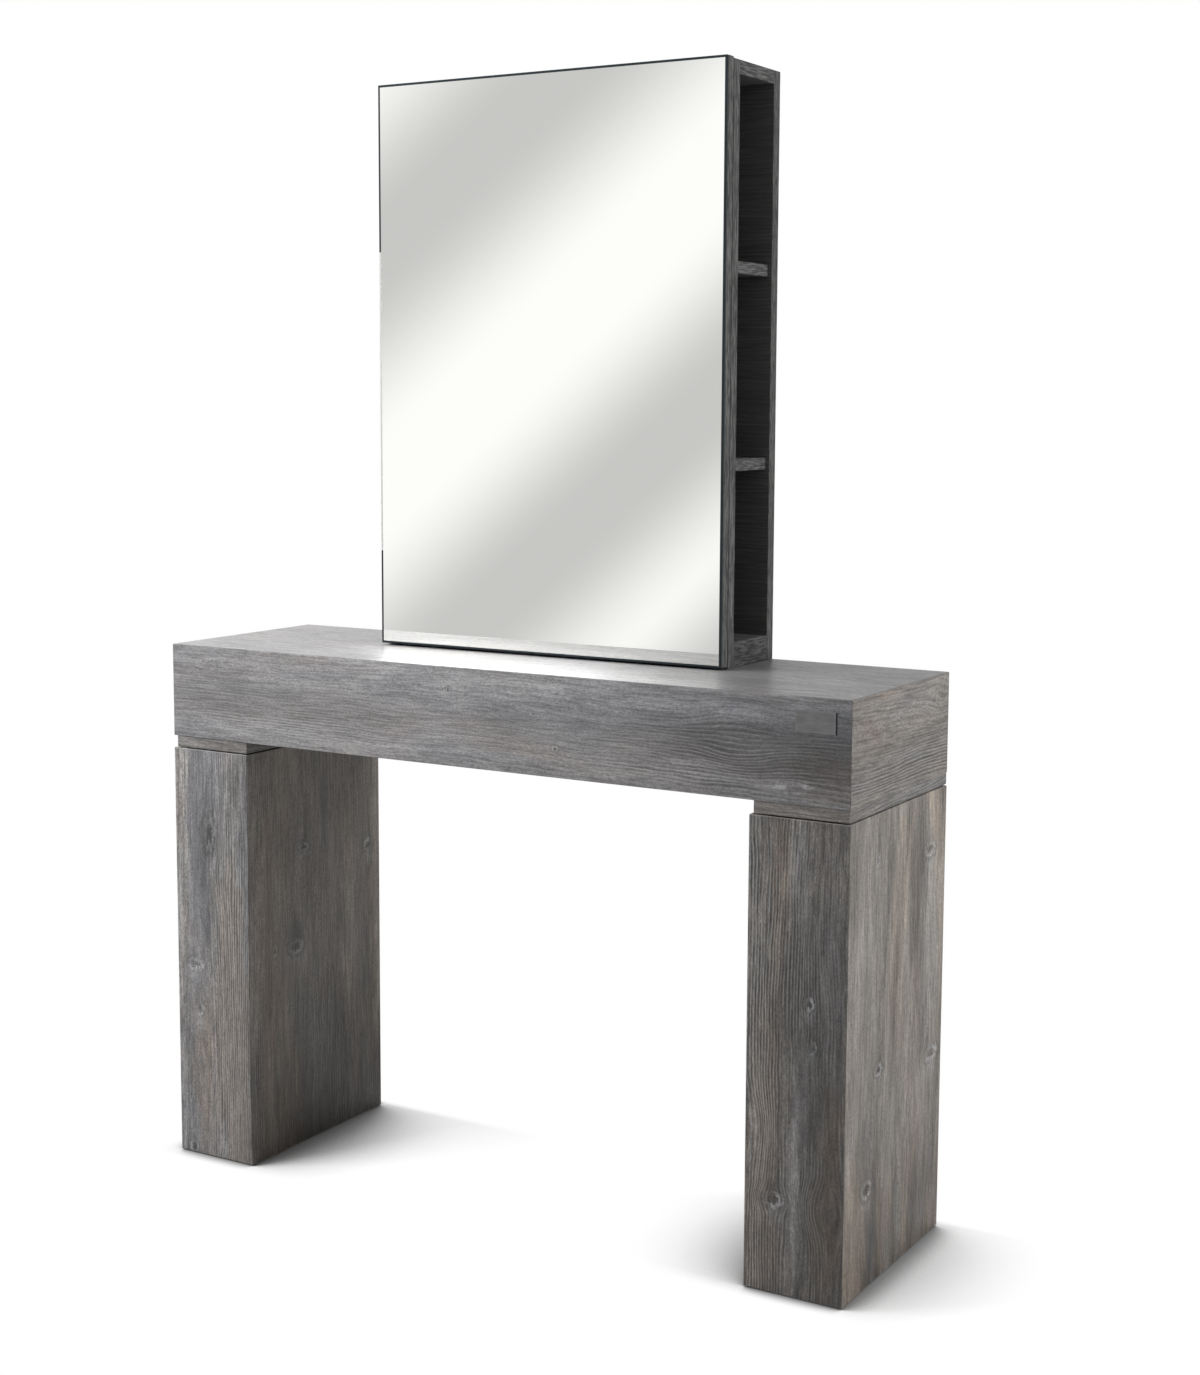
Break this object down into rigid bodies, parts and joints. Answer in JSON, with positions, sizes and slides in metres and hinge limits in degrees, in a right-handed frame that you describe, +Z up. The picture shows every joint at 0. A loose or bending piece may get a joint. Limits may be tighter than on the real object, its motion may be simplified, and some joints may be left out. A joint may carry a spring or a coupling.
{
  "type": "styling station",
  "caption": "Salon styling station: hollow beam worktop in weathered grey wood on slab legs, with a tall mirror tower that has open side niches.",
  "frame": {"origin": "on the floor, under the middle of the beam", "axes": "+Z up, +X to the right as the client faces the mirror, +Y towards the wall behind"},
  "size_m": [1.2, 0.35, 1.738],
  "materials": {
    "weathered_grey_pine": "weathered grey pine laminate, satin",
    "dark_grey_oak": "dark grey oak laminate, satin",
    "mirror_silver": "silvered float glass with dark polished edges",
    "zinc_plated_steel": "zinc plated",
    "black_plastic": "moulded, matte"
  },
  "bodies": {
    "station": {"worktop_board": "weathered_grey_pine", "front_fascia": "weathered_grey_pine", "left_end_panel": "weathered_grey_pine", "right_end_panel": "weathered_grey_pine", "beam_back_panel": "weathered_grey_pine", "beam_bottom_board": "weathered_grey_pine", "left_leg_rib": "weathered_grey_pine", "left_tower_rib": "weathered_grey_pine", "right_leg_rib": "weathered_grey_pine", "right_tower_rib": "weathered_grey_pine", "left_neck_board": "weathered_grey_pine", "left_leg_front_panel": "weathered_grey_pine", "left_leg_back_panel": "weathered_grey_pine", "left_leg_outer_panel": "weathered_grey_pine", "left_leg_inner_panel": "weathered_grey_pine", "left_leg_top_board": "weathered_grey_pine", "left_leg_base_board": "weathered_grey_pine", "right_neck_board": "weathered_grey_pine", "right_leg_front_panel": "weathered_grey_pine", "right_leg_back_panel": "weathered_grey_pine", "right_leg_outer_panel": "weathered_grey_pine", "right_leg_inner_panel": "weathered_grey_pine", "right_leg_top_board": "weathered_grey_pine", "right_leg_base_board": "weathered_grey_pine", "mirror_backing_board": "dark_grey_oak", "tower_front_panel": "dark_grey_oak", "tower_rear_panel": "dark_grey_oak", "tower_top_board": "dark_grey_oak", "tower_base_board": "dark_grey_oak", "tower_divider": "dark_grey_oak", "left_shelf_1": "dark_grey_oak", "left_shelf_2": "dark_grey_oak", "right_shelf_1": "dark_grey_oak", "right_shelf_2": "dark_grey_oak", "mirror_glass": "mirror_silver", "left_leg_bolt_front_left": "zinc_plated_steel", "left_leg_bolt_front_right": "zinc_plated_steel", "left_leg_bolt_rear_left": "zinc_plated_steel", "left_leg_bolt_rear_right": "zinc_plated_steel", "right_leg_bolt_front_left": "zinc_plated_steel", "right_leg_bolt_front_right": "zinc_plated_steel", "right_leg_bolt_rear_left": "zinc_plated_steel", "right_leg_bolt_rear_right": "zinc_plated_steel", "left_tower_screw_front": "zinc_plated_steel", "left_tower_screw_rear": "zinc_plated_steel", "right_tower_screw_front": "zinc_plated_steel", "right_tower_screw_rear": "zinc_plated_steel", "left_mirror_screw_low": "zinc_plated_steel", "left_mirror_screw_high": "zinc_plated_steel", "right_mirror_screw_low": "zinc_plated_steel", "right_mirror_screw_high": "zinc_plated_steel"},
    "left_foot_front_left": {"left_foot_front_left": "black_plastic"},
    "left_foot_front_right": {"left_foot_front_right": "black_plastic"},
    "left_foot_rear_left": {"left_foot_rear_left": "black_plastic"},
    "left_foot_rear_right": {"left_foot_rear_right": "black_plastic"},
    "right_foot_front_left": {"right_foot_front_left": "black_plastic"},
    "right_foot_front_right": {"right_foot_front_right": "black_plastic"},
    "right_foot_rear_left": {"right_foot_rear_left": "black_plastic"},
    "right_foot_rear_right": {"right_foot_rear_right": "black_plastic"}
  },
  "joints": [
    {"name": "left_foot_front_left_screw", "type": "slide", "parent": "station", "child": "left_foot_front_left", "axis": [0, 0, -1], "range_m": [0, 0.012]},
    {"name": "left_foot_front_right_screw", "type": "slide", "parent": "station", "child": "left_foot_front_right", "axis": [0, 0, -1], "range_m": [0, 0.012]},
    {"name": "left_foot_rear_left_screw", "type": "slide", "parent": "station", "child": "left_foot_rear_left", "axis": [0, 0, -1], "range_m": [0, 0.012]},
    {"name": "left_foot_rear_right_screw", "type": "slide", "parent": "station", "child": "left_foot_rear_right", "axis": [0, 0, -1], "range_m": [0, 0.012]},
    {"name": "right_foot_front_left_screw", "type": "slide", "parent": "station", "child": "right_foot_front_left", "axis": [0, 0, -1], "range_m": [0, 0.012]},
    {"name": "right_foot_front_right_screw", "type": "slide", "parent": "station", "child": "right_foot_front_right", "axis": [0, 0, -1], "range_m": [0, 0.012]},
    {"name": "right_foot_rear_left_screw", "type": "slide", "parent": "station", "child": "right_foot_rear_left", "axis": [0, 0, -1], "range_m": [0, 0.012]},
    {"name": "right_foot_rear_right_screw", "type": "slide", "parent": "station", "child": "right_foot_rear_right", "axis": [0, 0, -1], "range_m": [0, 0.012]}
  ]
}
